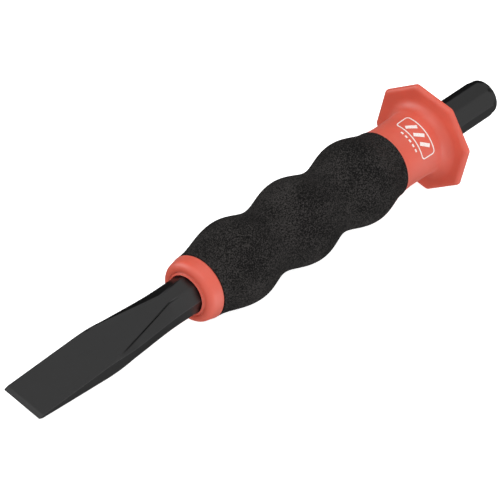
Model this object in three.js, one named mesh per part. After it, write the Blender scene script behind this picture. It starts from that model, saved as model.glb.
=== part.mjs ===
// Cold chisel with a hand guard: a forged octagonal steel bar, a moulded guard sleeve on it, a foam grip
// over the sleeve, and an end collar that keeps the foam in place.
// Millimetres. The origin is the centre of the striking face, +X runs along the bar to the cutting edge,
// +Z is the normal of the blade's upper flat, and +Y runs along the cutting edge.
import * as THREE from 'three';

const { lerp, smoothstep } = THREE.MathUtils;

// ---- driving dimensions ----
const LENGTH = 300;              // striking face to cutting edge
const BAR_FLATS = 16.6;          // across the flats of the octagonal bar
const HEAD_CHAMFER = 1.2;        // chamfer at the striking face, as long as it is deep

// The forged blade. Places along it are distances from the cutting edge.
const BLADE_WIDTH = 20.7;
const FORGED_FROM = 100;         // end of the untouched octagon
const FLAT_SLOPE = 0.0766;       // rise of each blade flat for each millimetre from the edge
const EDGE_HALF = 0.85;          // half thickness where the two blade flats would meet the edge plane
const BEVEL_LENGTH = 2;          // length of the ground cutting bevel
const BEVEL_HALF = 0.15;         // half thickness left at the cutting edge
const EDGE_CORNER_RELIEF = 0.2;  // how far each end of the cutting edge is taken in
const CORNER_BREAK = 0.15;       // broken corner along the blade's sides
const FLARE_START = 48;          // the blade starts to narrow
const FLARE_END = 90;            // and is as narrow as the bar
const CREASE_FROM = 84.3;        // each flat starts to widen towards the edge
const CREASE_HALF = 2.8;         // half width of the flat there
const CREASE_SLOPE = 0.19;       // widening on each side for each millimetre
const CREASE_BLEND = 1.2;        // softening where the flat reaches the full width of the blade
const WAIST_START = 42;          // the side faces start to lose height
const WAIST_END = 60;            // and are lowest
const WAIST_HALF = 3.1;          // half height of the side faces there
const SHOULDER_FROM = 72;        // the side faces start to grow towards the octagon's

const CLEARANCE = 0.3;           // gap between mating surfaces
const TUBE_RADIUS = 11.5;        // core tube of the guard sleeve, under the foam
const TUBE_END = 196.8;          // front end of the core tube
const BEAD_AT = 194.8;           // snap bead that holds the end collar
const BEAD_HEIGHT = 0.35;
const BEAD_FLAT = 0.8;
const BEAD_FOOT = 1.8;

const GUARD_BACK = 42;           // head side of the octagonal guard
const GUARD_EDGE = 1;            // straight part of the guard's edge
const GUARD_ROUND_LENGTH = 1.8;  // rounded front edge of the guard, along the axis
const GUARD_ROUND_DEPTH = 2.3;   // and across it
const GUARD_FLATS = 49.4;
const GUARD_CORNER = 2.5;        // corner radius of the octagon
const NECK_FILLET = 5;           // fillet between the neck and the guard
const NECK_WAIST = 15.1;         // smallest radius of the neck
const NECK_WAIST_AT = 63;
const NECK_END = 72.2;           // shoulder that the foam butts against
const FOAM_FLARE = 0.008;        // the neck's growth, for each squared millimetre from its waist to the foam
const GUARD_FLARE = 0.002;       // and from its waist to the guard

const FOAM_END = 191.8;
// Crests and troughs of the three finger swells, as [x, radius].
const SWELLS = [
  [72, 16.1], [90.3, 19.8], [110.3, 15.7], [129, 19.85], [149.8, 15.7], [168, 19.5], [193, 15.1],
];

const COLLAR_RADIUS = 15.1;      // collar at the foam
const COLLAR_SHOULDER = 14.3;    // radius where the collar's taper meets its rounded front
const COLLAR_ROUND = 2.9;        // length of that rounding
const COLLAR_CREST = 11.2;       // radius of its crest
const COLLAR_CREST_AT = 199.7;
const GROOVE_RADIUS = 10.4;      // shallow groove inside the rounded front
const GROOVE_DEPTH = 0.45;
const LIP_FRONT = 200.3;         // thin lip around the bar
const LIP_RADIUS = 9.8;

const OCTAGON_TURN = Math.PI / 8;
const FLAT_STEPS = 5;            // facets of a round sleeve along each side of the guard's octagon
const ARC_STEPS = 5;             // facets of a rounded edge or fillet
const NECK_STEPS = 6;
const FOAM_STEPS = 32;
const BLADE_STEPS = 24;

// The smaller of two values, blended where they are close together.
function smoothMin(a, b, blend) {
  const near = Math.max(blend - Math.abs(a - b), 0) / blend;
  return Math.min(a, b) - (near * near * blend) / 4;
}

// ---- meshes from rings of points ----

// Joins rings of equal size into one closed body. The rings follow +X along the outside, and then either
// come back along the bore or are closed by a flat cap at each end.
function joinRings(rings, hasBore) {
  const size = rings[0].length;
  const positions = rings.flat().flatMap((point) => point.toArray());
  const faces = [];
  const spans = hasBore ? rings.length : rings.length - 1;
  for (let span = 0; span < spans; span += 1) {
    const here = span * size;
    const there = ((span + 1) % rings.length) * size;
    for (let step = 0; step < size; step += 1) {
      const next = (step + 1) % size;
      faces.push(here + step, here + next, there + next);
      faces.push(here + step, there + next, there + step);
    }
  }
  if (!hasBore) {
    const last = (rings.length - 1) * size;
    for (let step = 1; step < size - 1; step += 1) {
      faces.push(0, step + 1, step);
      faces.push(last, last + step, last + step + 1);
    }
  }
  const geometry = new THREE.BufferGeometry();
  geometry.setAttribute('position', new THREE.Float32BufferAttribute(positions, 3));
  geometry.setIndex(faces);
  geometry.computeVertexNormals();
  return geometry;
}

// Angle from the middle of an octagon's side to the start of its rounded corner.
function flatHalfAngle(apothem, cornerRadius) {
  return Math.atan2((apothem - cornerRadius) * Math.tan(OCTAGON_TURN), apothem);
}

// Distance from the centre to a regular octagon's outline, with flats square to Y and Z.
function octagonRadius(angle, apothem, cornerRadius = 0) {
  const side = 2 * OCTAGON_TURN;
  const fromFlat = Math.abs(angle - side * Math.round(angle / side));
  if (fromFlat <= flatHalfAngle(apothem, cornerRadius)) {
    return apothem / Math.cos(fromFlat);
  }
  const fromCorner = OCTAGON_TURN - fromFlat;
  const centre = (apothem - cornerRadius) / Math.cos(OCTAGON_TURN);
  return centre * Math.cos(fromCorner) + Math.sqrt(cornerRadius ** 2 - (centre * Math.sin(fromCorner)) ** 2);
}

// The angles of every ring's points, from +Y towards +Z: for each side of the octagon its corner, and then
// even steps between the ends of the guard's flat.
const ringAngles = Array.from({ length: 8 }, (_, side) => {
  const middle = 2 * OCTAGON_TURN * side;
  const half = flatHalfAngle(GUARD_FLATS / 2, GUARD_CORNER);
  const alongFlat = Array.from({ length: FLAT_STEPS + 1 }, (_unused, step) => (
    middle - half + (2 * half * step) / FLAT_STEPS
  ));
  return [middle - OCTAGON_TURN, ...alongFlat];
}).flat();

// A ring of points at one place on the axis. radiusAt gives the radius for each angle.
function ring(x, radiusAt) {
  return ringAngles.map((angle) => {
    const radius = radiusAt(angle);
    return new THREE.Vector3(x, radius * Math.cos(angle), radius * Math.sin(angle));
  });
}

const roundRing = (x, radius) => ring(x, () => radius);

const boreRing = (x) => ring(x, (angle) => octagonRadius(angle, BAR_FLATS / 2 + CLEARANCE));

// Points of a quarter ellipse, as [x, radius] pairs. The first lies square to the axis from its centre, and
// the last along the axis.
function quarterArc(centreX, centreRadius, alongX, alongRadius, steps) {
  return Array.from({ length: steps + 1 }, (_, step) => {
    const turn = (Math.PI / 2) * (step / steps);
    return [centreX + alongX * Math.sin(turn), centreRadius + alongRadius * Math.cos(turn)];
  });
}

// ---- chisel bar: striking head, octagonal bar and forged blade in one piece ----

// One eight-cornered section. `top` and `side` are the half widths of the upper flat and of the whole
// section, `height` and `shoulder` the half heights of the whole section and of its side faces.
function barSection(x, top, height, side, shoulder) {
  const quarter = [[side, shoulder], [top, height]];
  const corners = [
    ...quarter,
    ...quarter.toReversed().map(([y, z]) => [-y, z]),
    ...quarter.map(([y, z]) => [-y, -z]),
    ...quarter.toReversed().map(([y, z]) => [y, -z]),
  ];
  return corners.map(([y, z]) => new THREE.Vector3(x, y, z));
}

function octagonSection(x, apothem) {
  const half = apothem * Math.tan(OCTAGON_TURN);
  return barSection(x, half, apothem, apothem, half);
}

function bladeSection(fromEdge) {
  const bar = BAR_FLATS / 2;
  const barHalf = bar * Math.tan(OCTAGON_TURN);
  const height = Math.min(bar, EDGE_HALF + FLAT_SLOPE * fromEdge);
  const side = lerp(BLADE_WIDTH / 2, bar, smoothstep(fromEdge, FLARE_START, FLARE_END));
  const necked = lerp(CREASE_HALF, barHalf, smoothstep(fromEdge, CREASE_FROM, FORGED_FROM));
  const crease = necked + CREASE_SLOPE * Math.max(0, CREASE_FROM - fromEdge);
  const top = smoothMin(side - CORNER_BREAK, crease, CREASE_BLEND);
  const waist = lerp(height - CORNER_BREAK, WAIST_HALF, smoothstep(fromEdge, WAIST_START, WAIST_END));
  const shoulder = lerp(waist, barHalf, smoothstep(fromEdge, SHOULDER_FROM, FORGED_FROM));
  return barSection(LENGTH - fromEdge, top, height, side, shoulder);
}

function chiselBar() {
  const sections = [
    octagonSection(0, BAR_FLATS / 2 - HEAD_CHAMFER),
    octagonSection(HEAD_CHAMFER, BAR_FLATS / 2),
    octagonSection(GUARD_BACK, BAR_FLATS / 2),
    octagonSection(TUBE_END, BAR_FLATS / 2),
    bladeSection(FORGED_FROM),
  ];
  const flatsFrom = (BAR_FLATS / 2 - EDGE_HALF) / FLAT_SLOPE;
  for (let step = 0; step <= BLADE_STEPS; step += 1) {
    sections.push(bladeSection(lerp(flatsFrom, BEVEL_LENGTH, step / BLADE_STEPS)));
  }
  const halfEdge = BLADE_WIDTH / 2 - EDGE_CORNER_RELIEF;
  sections.push(barSection(LENGTH, halfEdge - CORNER_BREAK, BEVEL_HALF, halfEdge, BEVEL_HALF / 2));
  return joinRings(sections, false);
}

// ---- guard sleeve: core tube, neck and octagonal guard in one moulding ----
function neckRadius(x) {
  const flare = x > NECK_WAIST_AT ? FOAM_FLARE : GUARD_FLARE;
  return NECK_WAIST + flare * (x - NECK_WAIST_AT) ** 2;
}

const guardRing = (x, apothem) => ring(x, (angle) => octagonRadius(angle, apothem, GUARD_CORNER));

// The snap bead on the core tube, or the groove for it, `slack` longer at each end.
function beadRings(radius, slack) {
  const profile = [[-BEAD_FOOT, 0], [-BEAD_FLAT, BEAD_HEIGHT], [BEAD_FLAT, BEAD_HEIGHT], [BEAD_FOOT, 0]];
  return profile.map(([width, rise]) => (
    roundRing(BEAD_AT + width / 2 + slack * Math.sign(width), radius + rise)
  ));
}

function guardSleeve() {
  const guardFace = GUARD_BACK + GUARD_EDGE + GUARD_ROUND_LENGTH;
  const filletX = guardFace + NECK_FILLET;
  const filletFoot = neckRadius(filletX);
  const faceApothem = GUARD_FLATS / 2 - GUARD_ROUND_DEPTH;
  const rings = [boreRing(GUARD_BACK), guardRing(GUARD_BACK, GUARD_FLATS / 2)];
  for (const [x, apothem] of quarterArc(
    GUARD_BACK + GUARD_EDGE, faceApothem, GUARD_ROUND_LENGTH, GUARD_ROUND_DEPTH, ARC_STEPS)) {
    rings.push(guardRing(x, apothem));
  }
  const fillet = quarterArc(filletX, filletFoot + NECK_FILLET, -NECK_FILLET, -NECK_FILLET, ARC_STEPS);
  for (const [x, radius] of fillet.toReversed()) {
    rings.push(roundRing(x, radius));
  }
  for (let step = 1; step <= NECK_STEPS; step += 1) {
    const x = lerp(filletX, NECK_END, step / NECK_STEPS);
    rings.push(roundRing(x, neckRadius(x)));
  }
  rings.push(roundRing(NECK_END, TUBE_RADIUS), ...beadRings(TUBE_RADIUS, 0));
  rings.push(roundRing(TUBE_END, TUBE_RADIUS), boreRing(TUBE_END));
  return joinRings(rings, true);
}

// ---- foam sleeve: three finger swells ----
function foamRadius(x) {
  const next = Math.max(1, SWELLS.findIndex(([place]) => place >= x));
  const [fromX, fromRadius] = SWELLS[next - 1];
  const [toX, toRadius] = SWELLS[next];
  return lerp(fromRadius, toRadius, (1 - Math.cos((Math.PI * (x - fromX)) / (toX - fromX))) / 2);
}

function foamSleeve() {
  const boreRadius = TUBE_RADIUS + CLEARANCE;
  const start = NECK_END + CLEARANCE;
  const rings = [roundRing(start, boreRadius)];
  for (let step = 0; step <= FOAM_STEPS; step += 1) {
    const x = lerp(start, FOAM_END, step / FOAM_STEPS);
    rings.push(roundRing(x, foamRadius(x)));
  }
  rings.push(roundRing(FOAM_END, boreRadius));
  return joinRings(rings, true);
}

// ---- end collar: snaps over the core tube's bead ----
function endCollar() {
  const back = FOAM_END + CLEARANCE;
  const socket = TUBE_RADIUS + CLEARANCE;
  const socketFloor = TUBE_END + CLEARANCE;
  const hole = BAR_FLATS / 2 / Math.cos(OCTAGON_TURN) + CLEARANCE;
  const roundEdge = quarterArc(
    COLLAR_CREST_AT - COLLAR_ROUND, COLLAR_CREST, COLLAR_ROUND, COLLAR_SHOULDER - COLLAR_CREST, ARC_STEPS);
  const rings = [
    roundRing(socketFloor, socket),
    ...beadRings(socket, CLEARANCE / 2).toReversed(),
    roundRing(back, socket),
    roundRing(back, COLLAR_RADIUS),
    ...roundEdge.map(([x, radius]) => roundRing(x, radius)),
    roundRing(COLLAR_CREST_AT - GROOVE_DEPTH, GROOVE_RADIUS),
    roundRing(LIP_FRONT, LIP_RADIUS),
    roundRing(LIP_FRONT, hole),
    roundRing(socketFloor, hole),
  ];
  return joinRings(rings, true);
}

// ---- the assembly ----
const steel = { color: 0x2c2c2d, roughness: 0.5, metalness: 0.3 };
const redPlastic = { color: 0xd9473a, roughness: 0.45, metalness: 0 };
const blackFoam = { color: 0x262626, roughness: 0.95, metalness: 0 };

const pieces = [
  ['chisel_bar', chiselBar(), steel],
  ['guard_sleeve', guardSleeve(), redPlastic],
  ['foam_sleeve', foamSleeve(), blackFoam],
  ['end_collar', endCollar(), redPlastic],
];

const coldChisel = new THREE.Group();
for (const [name, geometry, finish] of pieces) {
  const mesh = new THREE.Mesh(geometry, new THREE.MeshStandardMaterial(finish));
  mesh.name = name;
  coldChisel.add(mesh);
}

export default coldChisel;
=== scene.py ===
"""Looks of the cold chisel: a black coated forged bar, a red moulded guard sleeve and end collar, and a
black foam grip. Shapes are in the CAD frame: +X runs from the striking face to the cutting edge, and +Z is
the normal of the blade's upper side. Profiles are worked out in millimetres and built in metres."""

import math

import bpy
import numpy as np
from mathutils import Matrix, Vector


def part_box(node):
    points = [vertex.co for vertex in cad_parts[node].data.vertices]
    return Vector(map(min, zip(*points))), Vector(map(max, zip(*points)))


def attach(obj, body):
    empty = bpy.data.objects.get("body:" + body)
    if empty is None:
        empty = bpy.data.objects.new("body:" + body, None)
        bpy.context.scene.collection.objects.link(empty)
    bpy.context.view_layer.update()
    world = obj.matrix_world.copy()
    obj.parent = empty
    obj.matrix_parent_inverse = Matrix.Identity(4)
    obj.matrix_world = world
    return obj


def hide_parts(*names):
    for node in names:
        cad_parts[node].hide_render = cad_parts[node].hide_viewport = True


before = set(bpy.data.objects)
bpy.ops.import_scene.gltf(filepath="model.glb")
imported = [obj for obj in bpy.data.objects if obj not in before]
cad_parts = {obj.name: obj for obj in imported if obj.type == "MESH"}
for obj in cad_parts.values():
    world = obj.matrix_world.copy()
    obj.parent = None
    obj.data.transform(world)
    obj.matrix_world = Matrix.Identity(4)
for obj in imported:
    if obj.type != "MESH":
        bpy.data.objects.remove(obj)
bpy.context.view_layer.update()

MM = 0.001

# ---- sizes read from the CAD frame, in millimetres ----


def node_box(node):
    low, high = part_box(node)
    return np.array(low) / MM, np.array(high) / MM


BAR_LOW, BAR_HIGH = node_box("chisel_bar")
SLEEVE_LOW, SLEEVE_HIGH = node_box("guard_sleeve")
FOAM_LOW, _ = node_box("foam_sleeve")
COLLAR_LOW, COLLAR_HIGH = node_box("end_collar")

LENGTH = BAR_HIGH[0]
BAR_FLATS = BAR_HIGH[2] - BAR_LOW[2]
BLADE_WIDTH = BAR_HIGH[1] - BAR_LOW[1]
GUARD_BACK = SLEEVE_LOW[0]
GUARD_FLATS = SLEEVE_HIGH[2] - SLEEVE_LOW[2]
TUBE_END = SLEEVE_HIGH[0]
CAD_GAP = 0.3                # gap that the CAD keeps between pieces that touch
NECK_END = FOAM_LOW[0] - CAD_GAP
COLLAR_BACK, COLLAR_FRONT = COLLAR_LOW[0], COLLAR_HIGH[0]
COLLAR_RADIUS = COLLAR_HIGH[2]

# ---- sizes of the finer shapes, in millimetres ----
SHELL_GAP = 0.05             # gap left here between pieces that touch on the real tool

HEAD_ROUND = 1.0             # turned rounding between the striking face and the bar's sides
HEAD_RADIUS = 8.4            # the end is turned round to this radius, and fades into the flats
HEAD_BLEND = 4.5             # where the turning has faded out
FACE_FADES = (0.02, 0.15)    # depths between which the striking face's paler look fades out
BAR_EDGE_ROUND = 0.25        # rounding of the bar's long edges

# The forged blade. Places along it are distances from the cutting edge.
FORGED_FROM = 100.0          # end of the untouched octagon
FLAT_SLOPE = 0.0766          # rise of each blade flat for each millimetre from the edge
EDGE_HALF = 0.85             # half thickness where the blade flats would meet the edge plane
BEVEL_LENGTH = 2.0           # ground bevels that end in the cutting edge
BEVEL_HALF = 0.12            # half thickness of the cutting edge
EDGE_CORNER_RELIEF = 0.2     # how far the blade's sides curve in at the cutting edge
CORNER_BREAK = 0.12          # broken corners between the blade's flats and its sides
FLARE_START, FLARE_END = 48.0, 90.0       # the blade narrows to the bar between these
CREASE_FROM, CREASE_HALF = 84.3, 2.8      # where the upper flat is narrowest, and its half width there
CREASE_SLOPE = 0.19          # growth of that half width for each millimetre towards the edge
CREASE_BLEND = 1.2           # rounding in plan, where a crease runs out into the blade's side
CREASE_ROUND = 0.4           # rounding of the creases
CREASE_GROOVE = 0.65         # depth of the fold line along each crease
GROOVE_BEGINS, GROOVE_ENDS = (45, 54), (76, 98)      # the fold line fades in and out over these
CREASE_CORNERS = (1, 2, 5, 6)             # which of the section's eight corners are creases
WAIST_START, WAIST_END = 42.0, 60.0       # the side faces narrow between these
WAIST_HALF = 3.1             # half height of the side faces past that
SHOULDER_FROM = 72.0         # from here the side faces grow to the octagon's

TUBE_RADIUS = 11.5           # core tube under the foam
NECK_WAIST, NECK_WAIST_AT = 15.1, 63.0    # smallest radius of the neck, and its place
FOAM_FLARE, GUARD_FLARE = 0.008, 0.002    # growth of the neck's radius on either side of its waist
NECK_FILLET = 5.0            # fillet between the neck and the guard
NECK_END_ROUND = 0.4         # rounding of the shoulder that the foam butts against
GUARD_EDGE = 1.0             # straight part of the guard's edge
GUARD_ROUND_LENGTH, GUARD_ROUND_DEPTH = 1.8, 2.3     # rounded front edge, along the axis and across it
GUARD_BACK_ROUND = 0.6       # rounded edge on the head side
GUARD_CORNER = 2.5           # corner radius of the guard's octagon

# Crests and troughs of the three finger swells, as (x, radius).
SWELLS = [(72, 16.1), (90.3, 19.8), (110.3, 15.7), (129, 19.85), (149.8, 15.7), (168, 19.5), (193, 15.1)]
FOAM_EDGE_ROUND = 0.4

COLLAR_STEP_LENGTH, COLLAR_STEP_DEPTH = 0.7, 0.6     # low step next to the foam
COLLAR_REAR_ROUND = 0.25
COLLAR_SHOULDER = 14.3       # radius where the collar's tapered side meets its rounded front
COLLAR_CREST_AT, COLLAR_CREST = 199.75, 10.7         # foremost part of that rounding, and its radius
COLLAR_ROUND = 3.2           # length of the rounding from the shoulder to the crest
COLLAR_GROOVE_DEPTH = 0.3    # shallow groove between the crest and the lip
LIP_RADIUS, LIP_ROUND = 9.35, 0.3         # thin lip around the bar: middle and half thickness
MOUTH_DEPTH = 0.7            # from the crest back to the octagonal bore, inside the round lip

OCTAGON_TURN = math.pi / 8

# ---- the print on the neck, in millimetres along and around it ----
PRINT_AT, PRINT_ANGLE = 56.9, math.radians(68)       # its middle: place on the axis, and angle from +Y
PRINT_RISE, PRINT_ROOT = 0.04, 0.15       # ink above the neck's surface, and below it
FRAME_HALF_LENGTH, FRAME_HALF_WIDTH, FRAME_CORNER = 3.9, 10.6, 1.5
STRIPE_HALF_LENGTH, STRIPE_SLANT, STRIPE_PITCH = 2.3, 1.5, 5.0
DASHES_AT, DASH_PITCH, DASH_LENGTH = 6.2, 2.5, 1.4
DASH_COUNT = 5
FRAME_STROKE, STRIPE_STROKE, DASH_STROKE = 0.55, 1.7, 0.9

# ---- how finely the shapes are divided ----
SHARP_ANGLE = math.radians(32)            # edges sharper than this aren't smoothed
ROUND_STEPS, FOAM_ROUND_STEPS = 192, 160  # points around the plastic pieces and the foam
BEND_STEPS, SIDE_STEPS = 5, 8             # steps in each corner and each side of the bar's section
BEND_SHARE = 0.4             # most of a side that the rounding of one corner takes up
BEND_MARGIN = 0.03           # share of a side between a rounded corner and the first point past it
HEAD_ROUND_RINGS, TURNED_RINGS, SHANK_RINGS, BLADE_RINGS, BEVEL_RINGS = 18, 16, 60, 150, 9
TURNED_MARGIN, SHANK_MARGIN, BEVEL_MARGIN = 0.5, 1.0, 0.3      # from one stretch of rings to the next
NECK_RINGS, NECK_MARGIN = 24, 0.5         # and how far the last of them is from the neck's end
GUARD_FACE_RING = 3.0        # how far inside the guard's flats a ring holds its back face flat
FOAM_EDGE_RINGS = 6
FOAM_RINGS, FOAM_MARGIN = 150, 1.0        # and how far the outer ones are from the foam's ends
GROOVE_STEPS, LIP_STEPS = 10, 8
FRAME_CORNER_STEPS = 8
INK_SPACING = 0.5            # between points along a stroke of ink

# ---- floor, camera and light, in metres ----
FLOOR_SIZE = 8
AIM = Vector((158.65, -0.64, 0.34)) * MM
CAMERA_DISTANCE = 1.78163
CAMERA_AZIMUTH, CAMERA_ELEVATION, CAMERA_ROLL = map(math.radians, (121.796, 44.432, 14.809))
FOCAL_LENGTH, SENSOR = 299.48, 36.0       # in millimetres, as the camera takes them
CLIP_END = 100
LAMP_DISTANCE = 1.6
SKY_AXIS = (0.25, 0.72, 0.65)             # towards the bright side of the sky
SKY_STOPS = [(0.25, 0.01), (0.36, 0.18), (0.44, 0.36), (0.51, 0.62), (0.56, 0.88), (0.8, 0.88)]
BEHIND_HEAD, BESIDE_HEAD = -0.90, -0.66   # where the light from behind the head is out, and where full

# ---- meshes from rings of points ----


def lerp(a, b, share):
    return a + (b - a) * share


def smooth_step(value, start, end):
    """0 before start, 1 after end, and an even rise between them."""
    share = min(1.0, max(0.0, (value - start) / (end - start)))
    return share * share * (3 - 2 * share)


def smooth_min(a, b, blend):
    """The smaller of two values, rounded where they come within blend of each other."""
    near = max(blend - abs(a - b), 0) / blend
    return min(a, b) - near * near * blend / 4


def crowded(length, count):
    """Places from 0 to length that lie closest together near 0."""
    return length * (1 - np.cos(np.linspace(0, math.pi / 2, count)))


def add_object(name, data):
    item = bpy.data.objects.new(name, data)
    bpy.context.scene.collection.objects.link(item)
    return item


def mesh_from_rings(name, rings, capped):
    """One closed mesh from rings along +X on the outside, which are capped or come back in the bore."""
    count = len(rings[0])
    vertices = np.concatenate(rings) * MM
    spans = len(rings) - 1 if capped else len(rings)
    faces = []
    for span in range(spans):
        here, there = span * count, (span + 1) % len(rings) * count
        for step in range(count):
            after = (step + 1) % count
            faces.append((here + step, here + after, there + after, there + step))
    if capped:
        faces.append(tuple(reversed(range(count))))
        faces.append(tuple(range((len(rings) - 1) * count, len(rings) * count)))
    mesh = bpy.data.meshes.new(name)
    mesh.from_pydata(vertices.tolist(), [], faces)
    mesh.shade_smooth()
    mesh.set_sharp_from_angle(angle=SHARP_ANGLE)
    return add_object(name, mesh)


def ring(x, radii, angles):
    return np.stack([np.full_like(angles, x), radii * np.cos(angles), radii * np.sin(angles)], axis=1)


def round_ring(x, radius, angles):
    return ring(x, np.full_like(angles, radius), angles)


def full_turn(steps):
    return np.arange(steps) * 2 * math.pi / steps


def octagon_radii(angles, apothem, corner):
    """Distance from the centre to a rounded regular octagon with flats square to Y and Z."""
    side = 2 * OCTAGON_TURN
    from_flat = np.abs(angles - side * np.round(angles / side))
    from_corner = OCTAGON_TURN - from_flat
    centre = (apothem - corner) / math.cos(OCTAGON_TURN)
    tangent = math.atan2(centre * math.sin(OCTAGON_TURN), apothem)
    chord = np.maximum(corner ** 2 - (centre * np.sin(from_corner)) ** 2, 0)
    rounded = centre * np.cos(from_corner) + np.sqrt(chord)
    return np.where(from_flat <= tangent, apothem / np.cos(from_flat), rounded)


def quarter_arc(centre_x, centre_radius, along_x, along_radius, steps):
    """Points (x, radius) of a quarter ellipse, from the end above its centre to the end beside it."""
    turns = np.linspace(0, math.pi / 2, steps + 1)
    return [(centre_x + along_x * math.sin(t), centre_radius + along_radius * math.cos(t)) for t in turns]


# ---- chisel bar ----


def bar_corners(top, height, side, shoulder):
    """Eight corners: the flats at height are 2 * top wide, and the sides at side are 2 * shoulder high."""
    quarter = [(side, shoulder), (top, height)]
    half = quarter + [(-y, z) for y, z in reversed(quarter)]
    return np.array(half + [(-y, -z) for y, z in half])


def bar_corners_at(x):
    """The eight corners of the bar's section: an octagon that is forged flat towards the edge."""
    from_edge = LENGTH - x
    bar = BAR_FLATS / 2
    bar_half = bar * math.tan(OCTAGON_TURN)
    height = min(bar, EDGE_HALF + FLAT_SLOPE * from_edge)
    side = lerp(BLADE_WIDTH / 2, bar, smooth_step(from_edge, FLARE_START, FLARE_END))
    necked = lerp(CREASE_HALF, bar_half, smooth_step(from_edge, CREASE_FROM, FORGED_FROM))
    crease = necked + CREASE_SLOPE * max(0.0, CREASE_FROM - from_edge)
    top = smooth_min(side - CORNER_BREAK, crease, CREASE_BLEND)
    waist = lerp(height - CORNER_BREAK, WAIST_HALF, smooth_step(from_edge, WAIST_START, WAIST_END))
    shoulder = lerp(waist, bar_half, smooth_step(from_edge, SHOULDER_FROM, FORGED_FROM))
    if from_edge < BEVEL_LENGTH:
        ground = from_edge / BEVEL_LENGTH
        height = lerp(BEVEL_HALF, height, ground)
        shoulder = lerp(BEVEL_HALF / 2, shoulder, ground)
        side -= EDGE_CORNER_RELIEF * (1 - ground) ** 2
        top = side - CORNER_BREAK
    return bar_corners(top, height, side, shoulder)


def rounded_outline(corners):
    """The bar's section with its corners rounded, and more points along its straight sides."""
    bends = []
    for index, corner in enumerate(corners):
        radius = CREASE_ROUND if index in CREASE_CORNERS else BAR_EDGE_ROUND
        before = corners[index - 1] - corner
        after = corners[(index + 1) % len(corners)] - corner
        before_length, after_length = np.linalg.norm(before), np.linalg.norm(after)
        trim = min(radius, BEND_SHARE * before_length, BEND_SHARE * after_length)
        start = corner + before / before_length * trim
        end = corner + after / after_length * trim
        arc = [lerp(lerp(start, corner, share), lerp(corner, end, share), share)
               for share in np.linspace(0, 1, BEND_STEPS + 1)]
        bends.append(np.array([start + before * BEND_MARGIN, *arc, end + after * BEND_MARGIN]))
    outline = []
    for bend, following in zip(bends, bends[1:] + bends[:1]):
        outline += [bend, np.linspace(bend[-1], following[0], SIDE_STEPS + 1)[1:-1]]
    return np.concatenate(outline)


def bar_stations():
    """Places of the bar's rings, from the striking face to the cutting edge."""
    shank_end, bevel_start = LENGTH - FORGED_FROM, LENGTH - BEVEL_LENGTH
    rounding = crowded(HEAD_ROUND, HEAD_ROUND_RINGS)
    turned = np.linspace(HEAD_ROUND, HEAD_BLEND, TURNED_RINGS)[1:]
    shank = np.linspace(HEAD_BLEND + TURNED_MARGIN, shank_end, SHANK_RINGS)
    blade = np.linspace(shank_end + SHANK_MARGIN, bevel_start - BEVEL_MARGIN, BLADE_RINGS)
    bevel = np.linspace(bevel_start, LENGTH, BEVEL_RINGS)
    return np.concatenate([rounding, turned, shank, blade, bevel])


def turned_limit(x):
    """Radius that the turned head leaves at x."""
    into_round = HEAD_ROUND - min(x, HEAD_ROUND)
    rounded = HEAD_RADIUS - HEAD_ROUND + math.sqrt(HEAD_ROUND ** 2 - into_round ** 2)
    bar_radius = BAR_FLATS / 2 / math.cos(OCTAGON_TURN)
    return rounded + (bar_radius - HEAD_RADIUS) * smooth_step(x, HEAD_ROUND, HEAD_BLEND)


def bar_outline(x):
    """The bar's section at x, with the fold lines sunk into its creases."""
    corners = bar_corners_at(x)
    outline = rounded_outline(corners)
    from_edge = LENGTH - x
    depth = CREASE_GROOVE * smooth_step(from_edge, *GROOVE_BEGINS)
    depth *= 1 - smooth_step(from_edge, *GROOVE_ENDS)
    fold = np.sin(np.linspace(0, math.pi, BEND_STEPS + 1)) * depth
    sunk = np.zeros(len(outline))
    for corner in CREASE_CORNERS:
        first = corner * len(outline) // len(corners) + 1
        sunk[first:first + len(fold)] = fold
    return outline * (1 - sunk / np.linalg.norm(outline, axis=1))[:, None]


def make_bar():
    rings = []
    for x in bar_stations():
        outline = bar_outline(x)
        if x < HEAD_BLEND:
            outline *= np.minimum(1, turned_limit(x) / np.linalg.norm(outline, axis=1))[:, None]
        rings.append(np.column_stack([np.full(len(outline), x), outline]))
    return mesh_from_rings("forged_bar", rings, capped=True)


# ---- guard sleeve ----


def neck_radius(x):
    flare = FOAM_FLARE if x > NECK_WAIST_AT else GUARD_FLARE
    return NECK_WAIST + flare * (x - NECK_WAIST_AT) ** 2


def bore_ring(x, angles):
    return ring(x, octagon_radii(angles, BAR_FLATS / 2 + SHELL_GAP, BAR_EDGE_ROUND), angles)


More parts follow.
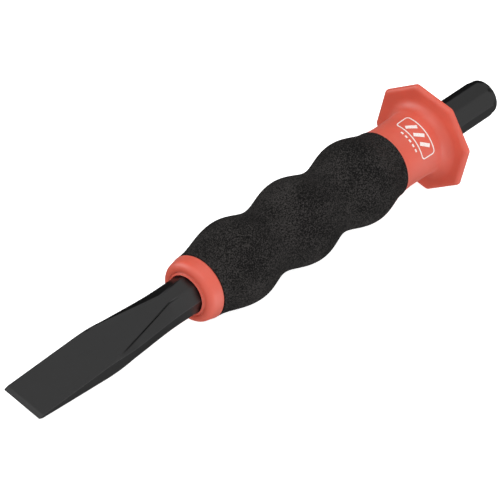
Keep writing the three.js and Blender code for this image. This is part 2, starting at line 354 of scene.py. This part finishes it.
def make_guard_sleeve():
    """The octagonal guard, the round neck and the core tube, on one octagonal bore."""
    angles = full_turn(ROUND_STEPS)
    half_flats = GUARD_FLATS / 2
    rear, front = GUARD_BACK + GUARD_BACK_ROUND, GUARD_BACK + GUARD_EDGE
    guard = [(GUARD_BACK, half_flats - GUARD_FACE_RING)]
    guard += reversed(quarter_arc(
        rear, half_flats - GUARD_BACK_ROUND, -GUARD_BACK_ROUND, GUARD_BACK_ROUND, steps=5))
    guard += quarter_arc(
        front, half_flats - GUARD_ROUND_DEPTH, GUARD_ROUND_LENGTH, GUARD_ROUND_DEPTH, steps=12)

    fillet_x = front + GUARD_ROUND_LENGTH + NECK_FILLET
    fillet_radius = neck_radius(fillet_x) + NECK_FILLET
    shoulder_x, shoulder_radius = NECK_END - NECK_END_ROUND, neck_radius(NECK_END) - NECK_END_ROUND
    neck = [*reversed(quarter_arc(fillet_x, fillet_radius, -NECK_FILLET, -NECK_FILLET, steps=20))]
    neck += [(x, neck_radius(x)) for x in np.linspace(fillet_x, NECK_END - NECK_MARGIN, NECK_RINGS)[1:]]
    neck += quarter_arc(shoulder_x, shoulder_radius, NECK_END_ROUND, NECK_END_ROUND, steps=4)
    neck += [(NECK_END, TUBE_RADIUS), (TUBE_END, TUBE_RADIUS)]

    rings = [bore_ring(GUARD_BACK, angles)]
    rings += [ring(x, octagon_radii(angles, apothem, GUARD_CORNER), angles) for x, apothem in guard]
    rings += [round_ring(x, radius, angles) for x, radius in neck]
    rings += [bore_ring(TUBE_END, angles)]
    return mesh_from_rings("moulded_guard", rings, capped=False)


# ---- foam grip ----


def foam_radius(x):
    """Radius of the swells: half a cosine wave from each crest or trough to the next."""
    places, radii = zip(*SWELLS)
    after = min(len(places) - 1, max(1, int(np.searchsorted(places, x))))
    share = (x - places[after - 1]) / (places[after] - places[after - 1])
    return lerp(radii[after - 1], radii[after], (1 - math.cos(math.pi * share)) / 2)


def make_foam():
    """The foam sleeve between the neck and the collar, with rounded ends."""
    angles = full_turn(FOAM_ROUND_STEPS)
    start, end = NECK_END + SHELL_GAP, COLLAR_BACK - SHELL_GAP
    bore = TUBE_RADIUS + SHELL_GAP

    def foam_ring(x):
        into_round = FOAM_EDGE_ROUND - min(x - start, end - x, FOAM_EDGE_ROUND)
        rounding = FOAM_EDGE_ROUND - math.sqrt(FOAM_EDGE_ROUND ** 2 - into_round ** 2)
        return round_ring(x, foam_radius(x) - rounding, angles)

    edge = crowded(FOAM_EDGE_ROUND, FOAM_EDGE_RINGS)
    middle = np.linspace(start + FOAM_MARGIN, end - FOAM_MARGIN, FOAM_RINGS)
    rings = [round_ring(start, bore, angles)]
    rings += [foam_ring(x) for x in np.concatenate([start + edge, middle, end - edge[::-1]])]
    rings += [round_ring(end, bore, angles)]
    return mesh_from_rings("foam_grip", rings, capped=False)


# ---- end collar ----


def make_collar():
    """The collar on the end of the core tube: a step, a side, a rounded front, and a lip around the bar."""
    angles = full_turn(ROUND_STEPS)
    rear = COLLAR_REAR_ROUND
    socket_floor, socket_radius = TUBE_END + SHELL_GAP, TUBE_RADIUS + SHELL_GAP
    step_end = COLLAR_BACK + COLLAR_STEP_LENGTH
    step_radius = COLLAR_RADIUS - COLLAR_STEP_DEPTH
    profile = [(socket_floor, socket_radius), (COLLAR_BACK, socket_radius)]
    profile += [(COLLAR_BACK, step_radius), (step_end, step_radius)]
    profile += reversed(quarter_arc(step_end + rear, COLLAR_RADIUS - rear, -rear, rear, steps=4))
    fall = COLLAR_SHOULDER - COLLAR_CREST
    profile += quarter_arc(COLLAR_CREST_AT - COLLAR_ROUND, COLLAR_CREST, COLLAR_ROUND, fall, steps=18)
    for share in np.linspace(0, 1, GROOVE_STEPS + 1)[1:]:
        sunk = COLLAR_GROOVE_DEPTH * (1 - math.cos(2 * math.pi * share)) / 2
        profile.append((COLLAR_CREST_AT - sunk, lerp(COLLAR_CREST, LIP_RADIUS + LIP_ROUND, share)))
    lip_rise = COLLAR_FRONT - COLLAR_CREST_AT
    for turn in np.linspace(0, math.pi, LIP_STEPS + 1)[1:]:
        x, radius = COLLAR_CREST_AT + lip_rise * math.sin(turn), LIP_RADIUS + LIP_ROUND * math.cos(turn)
        profile.append((x, radius))
    rings = [round_ring(x, radius, angles) for x, radius in profile]
    rings += [bore_ring(COLLAR_CREST_AT - MOUTH_DEPTH, angles), bore_ring(socket_floor, angles)]
    return mesh_from_rings("collar_ring", rings, capped=False)


# ---- print on the neck: a plain frame with three slanted stripes, and a row of dashes ----


def rounded_frame():
    """Points of a rounded rectangle, as (along, around) from its middle."""
    middle_x, middle_y = FRAME_HALF_LENGTH - FRAME_CORNER, FRAME_HALF_WIDTH - FRAME_CORNER
    points = []
    for side_x, side_y, turn in ((1, 1, 0), (-1, 1, 1), (-1, -1, 2), (1, -1, 3)):
        centre = np.array([side_x * middle_x, side_y * middle_y])
        for step in range(FRAME_CORNER_STEPS + 1):
            angle = (turn + step / FRAME_CORNER_STEPS) * math.pi / 2
            points.append(centre + FRAME_CORNER * np.array([math.cos(angle), math.sin(angle)]))
    return np.array(points)


def densify(points, closed):
    """The same line with points no more than about INK_SPACING apart."""
    ends = np.concatenate([points[1:], points[:1]]) if closed else points[1:]
    dense = []
    for start, end in zip(points, ends):
        steps = max(1, int(np.linalg.norm(end - start) / INK_SPACING))
        dense += [lerp(start, end, step / steps) for step in range(steps)]
    return np.array(dense if closed else dense + [points[-1]])


def on_neck(point, rise):
    """Place in metres of an (along, around) point of the print, at some rise above the neck's surface."""
    x = PRINT_AT + point[0]
    radius = neck_radius(x)
    angle = PRINT_ANGLE + point[1] / NECK_WAIST
    return (x * MM, (radius + rise) * math.cos(angle) * MM, (radius + rise) * math.sin(angle) * MM)


def add_stroke(vertices, faces, points, width, closed=False):
    """A raised strip of ink along points that are (along, around) on the neck."""
    path = densify(np.array(points, dtype=float), closed)
    if closed:
        heading = np.roll(path, -1, axis=0) - np.roll(path, 1, axis=0)
    else:
        heading = np.gradient(path, axis=0)
    heading /= np.linalg.norm(heading, axis=1)[:, None]
    aside = np.stack([-heading[:, 1], heading[:, 0]], axis=1) * width / 2
    first = len(vertices)
    for point, offset in zip(path, aside):
        vertices += [on_neck(point + offset, PRINT_RISE), on_neck(point - offset, PRINT_RISE)]
        vertices += [on_neck(point - offset, -PRINT_ROOT), on_neck(point + offset, -PRINT_ROOT)]
    count = len(path)
    for span in range(count if closed else count - 1):
        here, there = first + 4 * span, first + 4 * ((span + 1) % count)
        for corner in range(4):
            after = (corner + 1) % 4
            faces.append((here + corner, there + corner, there + after, here + after))
    if not closed:
        last = first + 4 * (count - 1)
        faces.append((first, first + 1, first + 2, first + 3))
        faces.append((last + 3, last + 2, last + 1, last))


def make_print():
    vertices, faces = [], []
    add_stroke(vertices, faces, rounded_frame(), FRAME_STROKE, closed=True)
    for place in (-STRIPE_PITCH, 0.0, STRIPE_PITCH):
        ends = [(-STRIPE_HALF_LENGTH, place - STRIPE_SLANT), (STRIPE_HALF_LENGTH, place + STRIPE_SLANT)]
        add_stroke(vertices, faces, ends, STRIPE_STROKE)
    half = DASH_LENGTH / 2
    for index in range(DASH_COUNT):
        place = (index - (DASH_COUNT - 1) / 2) * DASH_PITCH
        add_stroke(vertices, faces, [(DASHES_AT, place - half), (DASHES_AT, place + half)], DASH_STROKE)
    mesh = bpy.data.meshes.new("neck_print")
    mesh.from_pydata(vertices, [], faces)
    return add_object("neck_print", mesh)


# ---- materials ----


def new_material(name):
    material = bpy.data.materials.new(name)
    material.use_nodes = True
    return material, material.node_tree, material.node_tree.nodes["Principled BSDF"]


def noise(tree, coordinates, scale, detail=2, roughness=0.5):
    node = tree.nodes.new("ShaderNodeTexNoise")
    node.inputs["Scale"].default_value = scale
    node.inputs["Detail"].default_value = detail
    node.inputs["Roughness"].default_value = roughness
    tree.links.new(coordinates, node.inputs["Vector"])
    return node.outputs["Fac"]


def ramp(tree, value, stops):
    node = tree.nodes.new("ShaderNodeValToRGB")
    elements = node.color_ramp.elements
    while len(elements) < len(stops):
        elements.new(0.5)
    for element, (place, colour) in zip(elements, stops):
        element.position = place
        element.color = (*colour, 1)
    tree.links.new(value, node.inputs["Fac"])
    return node.outputs["Color"]


def remap(tree, value, low, high, span=(0, 1)):
    node = tree.nodes.new("ShaderNodeMapRange")
    node.inputs["From Min"].default_value, node.inputs["From Max"].default_value = span
    node.inputs["To Min"].default_value = low
    node.inputs["To Max"].default_value = high
    tree.links.new(value, node.inputs["Value"])
    return node.outputs["Result"]


def add(tree, first, second):
    node = tree.nodes.new("ShaderNodeMath")
    node.operation = "ADD"
    tree.links.new(first, node.inputs[0])
    tree.links.new(second, node.inputs[1])
    return node.outputs["Value"]


def mix(tree, share, first, second):
    node = tree.nodes.new("ShaderNodeMixRGB")
    for value, name in ((share, "Fac"), (first, "Color1"), (second, "Color2")):
        tree.links.new(value, node.inputs[name])
    return node.outputs["Color"]


def bump(tree, height, distance, strength=1.0, normal=None):
    node = tree.nodes.new("ShaderNodeBump")
    node.inputs["Distance"].default_value = distance
    node.inputs["Strength"].default_value = strength
    tree.links.new(height, node.inputs["Height"])
    if normal is not None:
        tree.links.new(normal, node.inputs["Normal"])
    return node.outputs["Normal"]


def x_of(tree, vector):
    node = tree.nodes.new("ShaderNodeSeparateXYZ")
    tree.links.new(vector, node.inputs[0])
    return node.outputs["X"]


def object_coordinates(tree):
    return tree.nodes.new("ShaderNodeTexCoord").outputs["Object"]


def steel_material():
    """Black coating over forged steel: almost no colour, a broad satin gloss, and a paler struck face."""
    material, tree, shader = new_material("black_coated_steel")
    place = object_coordinates(tree)
    mottle = noise(tree, place, scale=240, detail=4)
    grain = noise(tree, place, scale=2400, detail=3)
    coat = ramp(tree, mottle, [(0.35, (0.0030, 0.0030, 0.0031)), (0.65, (0.0045, 0.0045, 0.0047))])
    faced = ramp(tree, grain, [(0.35, (0.045, 0.044, 0.043)), (0.65, (0.075, 0.074, 0.072))])
    on_face = remap(tree, x_of(tree, place), low=1, high=0, span=[depth * MM for depth in FACE_FADES])
    tree.links.new(mix(tree, on_face, coat, faced), shader.inputs["Base Color"])
    tree.links.new(remap(tree, mottle, low=0.30, high=0.42), shader.inputs["Roughness"])
    waves = bump(tree, noise(tree, place, scale=110), distance=0.00006)
    pores = bump(tree, grain, distance=0.000025, strength=0.6, normal=waves)
    tree.links.new(pores, shader.inputs["Normal"])
    shader.inputs["Specular IOR Level"].default_value = 0.6
    return material


def plastic_material():
    """Soft moulded plastic, slightly translucent, with a fine eroded grain."""
    material, tree, shader = new_material("red_moulded_plastic")
    place = object_coordinates(tree)
    cloud = noise(tree, place, scale=90)
    grain = noise(tree, place, scale=3000)
    base = ramp(tree, cloud, [(0.3, (0.64, 0.066, 0.025)), (0.7, (0.69, 0.074, 0.029))])
    tree.links.new(base, shader.inputs["Base Color"])
    tree.links.new(remap(tree, grain, low=0.44, high=0.54), shader.inputs["Roughness"])
    tree.links.new(bump(tree, grain, distance=0.00002, strength=0.5), shader.inputs["Normal"])
    shader.inputs["Specular IOR Level"].default_value = 1.0
    shader.inputs["Sheen Weight"].default_value = 0.14
    shader.inputs["Sheen Roughness"].default_value = 0.6
    shader.inputs["Subsurface Weight"].default_value = 0.3
    shader.inputs["Subsurface Radius"].default_value = (1.0, 0.3, 0.2)
    shader.inputs["Subsurface Scale"].default_value = 0.003
    return material


def foam_material():
    """Closed-cell foam: a dark skin of fine cells with paler specks."""
    material, tree, shader = new_material("black_foam")
    place = object_coordinates(tree)
    cells = tree.nodes.new("ShaderNodeTexVoronoi")
    cells.inputs["Scale"].default_value = 1500
    tree.links.new(place, cells.inputs["Vector"])
    speckle = noise(tree, place, scale=1750, detail=3, roughness=0.6)
    patches = remap(tree, noise(tree, place, scale=60), low=-0.05, high=0.03, span=(0.3, 0.7))
    shade = add(tree, speckle, patches)
    base = ramp(tree, shade, [(0.43, (0.0014, 0.0013, 0.0012)), (0.62, (0.041, 0.0375, 0.0360))])
    tree.links.new(base, shader.inputs["Base Color"])
    pits = bump(tree, cells.outputs["Distance"], distance=0.0002, strength=0.7)
    rough = bump(tree, speckle, distance=0.0002, strength=0.8, normal=pits)
    tree.links.new(rough, shader.inputs["Normal"])
    shader.inputs["Roughness"].default_value = 0.92
    shader.inputs["Specular IOR Level"].default_value = 0.2
    return material


def ink_material():
    """Thin white pad print that lets a little of the red through."""
    material, tree, shader = new_material("white_ink")
    cover = noise(tree, object_coordinates(tree), scale=1800, detail=3)
    tint = ramp(tree, cover, [(0.3, (0.80, 0.66, 0.62)), (0.6, (0.88, 0.83, 0.80))])
    tree.links.new(tint, shader.inputs["Base Color"])
    shader.inputs["Roughness"].default_value = 0.5
    return material


# ---- pieces on their bodies ----


def place_piece(piece, material, node=None):
    piece.data.materials.append(material)
    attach(piece, "root")
    if node:
        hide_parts(node)
    return piece


# ---- floor, camera and lights ----


def make_floor():
    """A pale floor under the tool, which lies on the lower flat of its guard and on its last crest."""
    crest_at, crest_radius = SWELLS[-2]
    under_guard = Vector((GUARD_BACK + GUARD_EDGE, 0, -GUARD_FLATS / 2)) * MM
    under_crest = Vector((crest_at, 0, -crest_radius)) * MM
    along = under_crest - under_guard
    bpy.ops.mesh.primitive_plane_add(size=FLOOR_SIZE)
    floor = bpy.context.object
    floor.name = "floor"
    floor.location = (under_guard + under_crest) / 2
    floor.rotation_euler = (0, -math.atan2(along.z, along.x), 0)
    material, tree, shader = new_material("pale_floor")
    shader.inputs["Base Color"].default_value = (0.8, 0.8, 0.8, 1)
    shader.inputs["Roughness"].default_value = 1.0
    shader.inputs["Specular IOR Level"].default_value = 0.0
    shader.inputs["Emission Color"].default_value = (1, 1, 1, 1)
    shader.inputs["Emission Strength"].default_value = 0.85
    floor.data.materials.append(material)
    floor.visible_glossy = False
    floor.visible_diffuse = False
    floor.visible_shadow = False


def direction(azimuth, elevation):
    """Unit vector towards a camera that looks along +Y at azimuth 0."""
    return Vector((
        math.sin(azimuth) * math.cos(elevation),
        -math.cos(azimuth) * math.cos(elevation),
        math.sin(elevation),
    ))


def make_camera():
    data = bpy.data.cameras.new("camera")
    data.lens = FOCAL_LENGTH
    data.sensor_width = SENSOR
    data.clip_end = CLIP_END
    camera = add_object("camera", data)
    back = direction(CAMERA_AZIMUTH, CAMERA_ELEVATION)
    level = Vector((math.cos(CAMERA_AZIMUTH), math.sin(CAMERA_AZIMUTH), 0))
    right = level * math.cos(CAMERA_ROLL) + back.cross(level) * math.sin(CAMERA_ROLL)
    up = back.cross(right)
    turn = Matrix((right, up, back)).transposed().to_4x4()
    camera.matrix_world = Matrix.Translation(AIM + back * CAMERA_DISTANCE) @ turn
    bpy.context.scene.camera = camera


def softbox(name, towards, size, power, glossy=True):
    """A square lamp that faces the tool from the direction given, and may be kept out of reflections."""
    data = bpy.data.lights.new(name, "AREA")
    data.shape = "SQUARE"
    data.size = size
    data.energy = power
    lamp = add_object(name, data)
    way = Vector(towards).normalized()
    lamp.location = AIM + way * LAMP_DISTANCE
    lamp.rotation_euler = way.to_track_quat("Z", "Y").to_euler()
    lamp.visible_glossy = glossy


def make_sky():
    """A light tent: bright above and to the right, dark below the tool's left side and behind its head."""
    world = bpy.data.worlds.new("studio")
    world.use_nodes = True
    tree = world.node_tree
    along = tree.nodes.new("ShaderNodeVectorMath")
    along.operation = "DOT_PRODUCT"
    along.inputs[1].default_value = Vector(SKY_AXIS).normalized()
    way = tree.nodes.new("ShaderNodeTexCoord").outputs["Generated"]
    tree.links.new(way, along.inputs[0])
    share = remap(tree, along.outputs["Value"], low=0, high=1, span=(-1, 1))
    tint = ramp(tree, share, [(place, (level, level, level)) for place, level in SKY_STOPS])
    dimmed = remap(tree, x_of(tree, way), low=0, high=1, span=(BEHIND_HEAD, BESIDE_HEAD))
    tree.links.new(tint, tree.nodes["Background"].inputs["Color"])
    tree.links.new(dimmed, tree.nodes["Background"].inputs["Strength"])
    bpy.context.scene.world = world


def make_lights():
    softbox("key", (-0.30, 0.00, 0.90), size=1.2, power=5, glossy=False)
    softbox("front", (0.40, 0.00, 0.90), size=0.7, power=3.2)
    softbox("left", (0.40, -0.85, 0.20), size=1.0, power=11)
    softbox("right", (-0.20, 0.95, -0.10), size=1.0, power=5)
    softbox("rear", (-0.90, -0.10, 0.40), size=1.0, power=3, glossy=False)
    softbox("bounce", (0.45, 0.10, -0.80), size=1.2, power=7, glossy=False)


# ---- the scene ----

red_plastic = plastic_material()
place_piece(make_bar(), steel_material(), "chisel_bar")
place_piece(make_guard_sleeve(), red_plastic, "guard_sleeve")
foam = place_piece(make_foam(), foam_material(), "foam_sleeve")
place_piece(make_collar(), red_plastic, "end_collar")
place_piece(make_print(), ink_material())

make_floor()
make_camera()
make_sky()
make_lights()
bpy.context.scene.view_settings.view_transform = "Standard"
